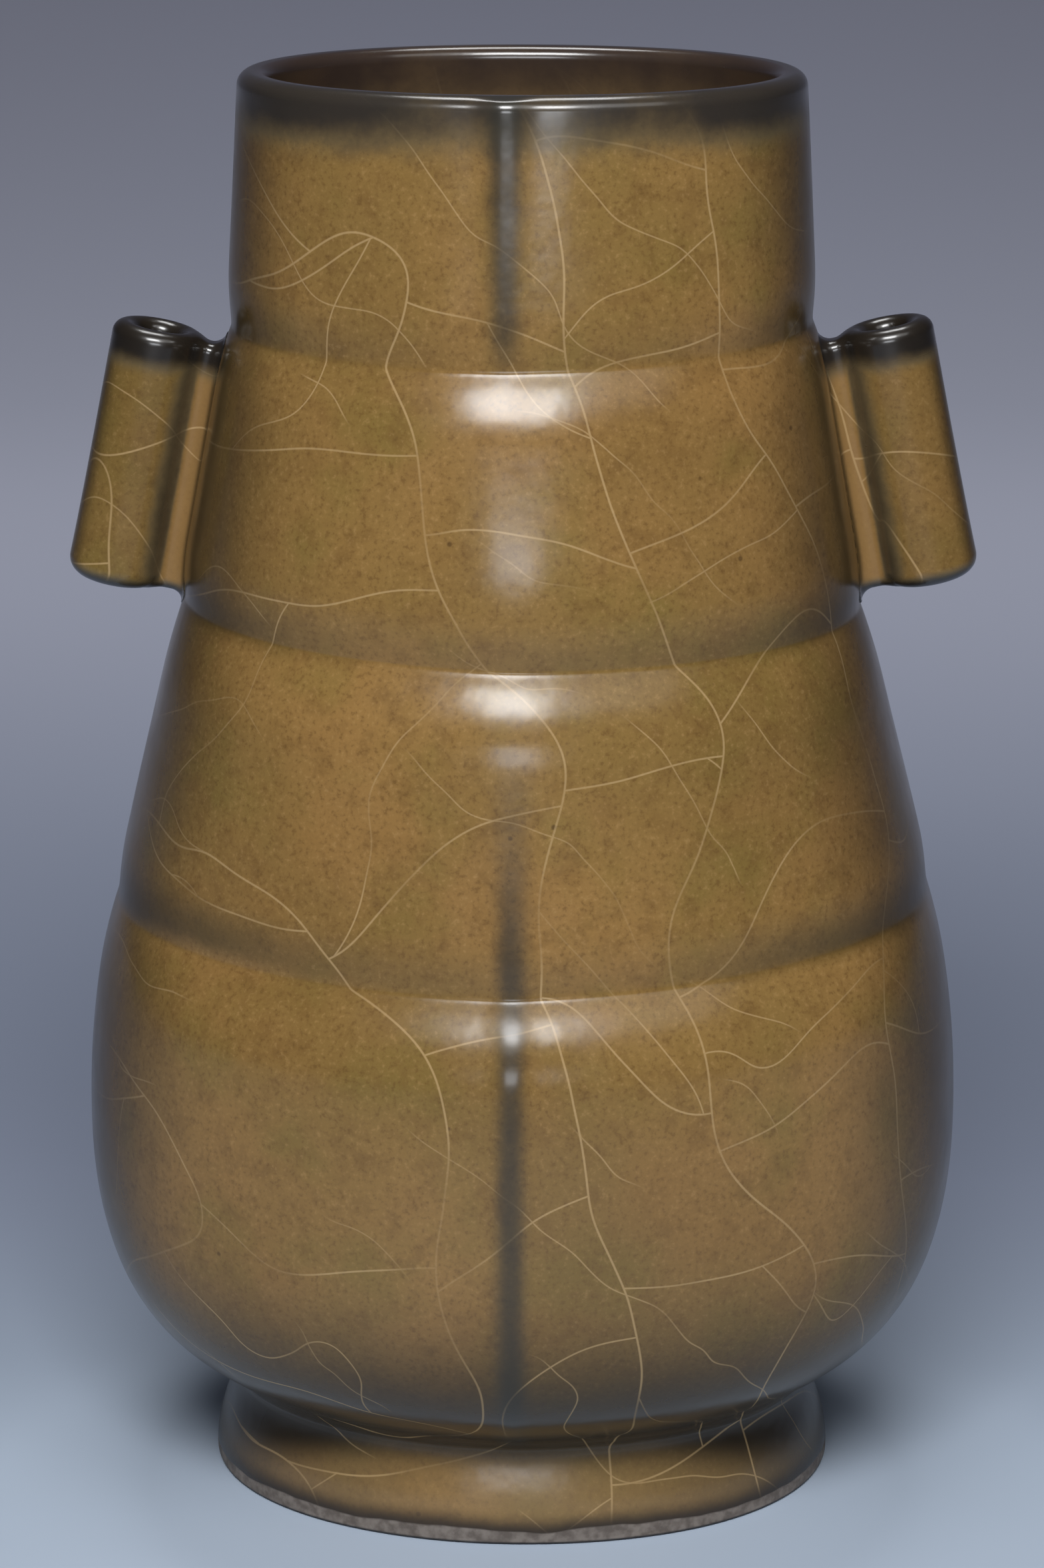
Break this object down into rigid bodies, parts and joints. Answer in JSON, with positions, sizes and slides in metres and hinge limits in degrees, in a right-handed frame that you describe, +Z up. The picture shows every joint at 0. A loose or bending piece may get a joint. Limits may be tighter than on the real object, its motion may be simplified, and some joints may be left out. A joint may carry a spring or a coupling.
{
  "type": "hu vase",
  "caption": "Oval pear-shaped stoneware vase with a straight neck, stepped bands, tubular side lugs, centre ribs and a splayed foot, under a crackled olive-brown glaze.",
  "frame": {"origin": "on the resting plane, under the middle of the oval", "axes": "+Z up through the mouth, X along the wide axis through both lugs, front face with the offset neck rib towards -Y"},
  "size_m": [0.113, 0.0974, 0.18],
  "materials": {
    "wall_glaze": "glossy olive-brown stoneware glaze with fine mottling and pale gold crackle",
    "foot_glaze": "glossy brown glaze that stops at a bare purplish-brown edge",
    "inner_glaze": "glossy dark olive-brown glaze",
    "lug_glaze": "glossy glaze, thin and nearly black on the rims of the tubes",
    "web_glaze": "thick ochre glaze pooled beside the lugs",
    "rib_glaze": "thin glaze with the dark body showing through"
  },
  "bodies": {
    "root": {"neck": "wall_glaze", "shoulder": "wall_glaze", "waist": "wall_glaze", "belly": "wall_glaze", "foot_ring": "foot_glaze", "floor_disc": "inner_glaze", "right_lug_tube": "lug_glaze", "right_lug_web": "web_glaze", "left_lug_tube": "lug_glaze", "left_lug_web": "web_glaze", "neck_rib_front": "rib_glaze", "waist_rib_front": "rib_glaze", "belly_rib_front": "rib_glaze", "neck_rib_back": "rib_glaze", "waist_rib_back": "rib_glaze", "belly_rib_back": "rib_glaze"}
  },
  "joints": []
}
